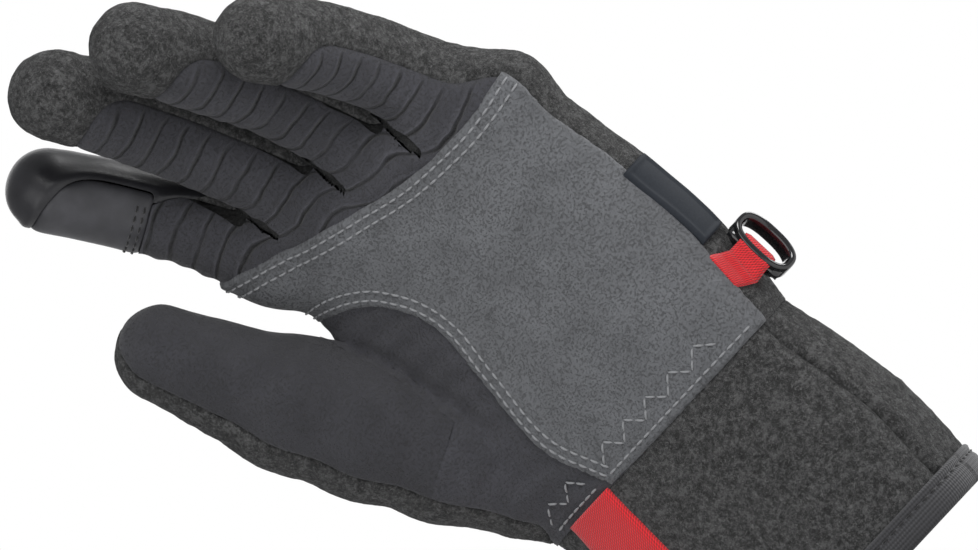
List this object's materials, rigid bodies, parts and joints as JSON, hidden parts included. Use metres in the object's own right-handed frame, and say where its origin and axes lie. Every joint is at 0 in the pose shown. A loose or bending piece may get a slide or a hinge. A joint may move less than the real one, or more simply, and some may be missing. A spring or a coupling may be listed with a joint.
{
  "type": "convertible flip-top glove",
  "caption": "Left-hand insulated glove with bent finger stalls, suede palm patch, gauntlet cuff, clip ring and a flip-over mitten hood stowed on the back.",
  "frame": {"origin": "centre of the cuff's rim, in the plane of the rim", "axes": "+Z from the cuff towards the fingertips, palm faces -Y, back of the hand faces +Y, thumb side is -X"},
  "size_m": [0.1467, 0.089, 0.2617],
  "materials": {
    "fleece": "heathered brushed wool-look fleece",
    "suede_dark": "dark charcoal synthetic suede",
    "suede_grey": "mid grey synthetic suede",
    "lining": "brushed liner with insulation",
    "binding": "ribbed knit tape",
    "elastic": "flat woven elastic",
    "webbing_red": "woven webbing",
    "label": "soft moulded patch, plain",
    "ring_plastic": "glossy moulded plastic",
    "leather_black": "smooth black leather",
    "shell_hood": "heathered brushed wool-look fleece",
    "button": "moulded button"
  },
  "bodies": {
    "hand": {"back_panel": "fleece", "palm_panel": "suede_dark", "palm_overlay": "suede_grey", "cuff_back": "fleece", "cuff_front": "fleece", "cuff_binding": "binding", "hand_lining": "lining", "wrist_elastic": "elastic", "pull_tab": "webbing_red", "side_label": "label", "side_loop": "webbing_red", "stow_button": "button", "hood_anchor_strip": "binding"},
    "thumb": {"thumb_front": "suede_dark", "thumb_back": "fleece", "thumb_lining": "lining"},
    "index_finger": {"index_front": "suede_dark", "index_back": "fleece", "index_side_strip": "fleece", "index_lining": "lining", "index_tip_cap": "leather_black", "index_touch_pad": "leather_black"},
    "middle_finger": {"middle_front": "suede_dark", "middle_back": "fleece", "middle_side_strip": "fleece", "middle_lining": "lining"},
    "ring_finger": {"ring_front": "suede_dark", "ring_back": "fleece", "ring_side_strip": "fleece", "ring_lining": "lining"},
    "little_finger": {"little_front": "suede_dark", "little_back": "fleece", "little_side_strip": "fleece", "little_lining": "lining"},
    "hood": {"hood_back": "shell_hood", "hood_lining": "lining", "hood_gusset": "shell_hood", "hood_loop": "elastic"},
    "hood_palm_side": {"hood_front": "shell_hood", "hood_lip_band": "binding"},
    "clip": {"clip_ring": "ring_plastic"}
  },
  "joints": [
    {"name": "index_flex", "type": "hinge", "parent": "hand", "child": "index_finger", "pos_m": [-0.0465, -0.004, 0.19], "axis": [0.9063, 0, 0.4226], "range_deg": [-8, 45]},
    {"name": "middle_flex", "type": "hinge", "parent": "hand", "child": "middle_finger", "pos_m": [-0.0225, -0.004, 0.188], "axis": [0.9677, 0, 0.2521], "range_deg": [-8, 45]},
    {"name": "ring_flex", "type": "hinge", "parent": "hand", "child": "ring_finger", "pos_m": [0.0018, -0.0035, 0.184], "axis": [0.9863, 0, 0.165], "range_deg": [-8, 45]},
    {"name": "little_flex", "type": "hinge", "parent": "hand", "child": "little_finger", "pos_m": [0.026, -0.003, 0.178], "axis": [0.9863, 0, 0.165], "range_deg": [-8, 45]},
    {"name": "thumb_swing", "type": "hinge", "parent": "hand", "child": "thumb", "pos_m": [-0.045, -0.01, 0.104], "axis": [0.945, 0, 0.3271], "range_deg": [-10, 35]},
    {"name": "hood_flip", "type": "hinge", "parent": "hand", "child": "hood", "pos_m": [-0.01, 0.0185, 0.168], "axis": [-0.9925, 0, -0.1219], "range_deg": [-180, 0], "deforming": ["hood_loop", "hood_gusset", "hood_front", "hood_lip_band"]},
    {"name": "hood_open", "type": "slide", "parent": "hood", "child": "hood_palm_side", "axis": [0, 0.9936, 0.1132], "range_m": [0, 0.062]},
    {"name": "ring_swing", "type": "hinge", "parent": "hand", "child": "clip", "pos_m": [0.0548, -0.001, 0.085], "axis": [0, 0, 1], "range_deg": [-80, 10]}
  ],
  "couplings": [
    {"joint": "hood_open", "follows": "hood_flip", "m_per_rad": -0.0197}
  ]
}
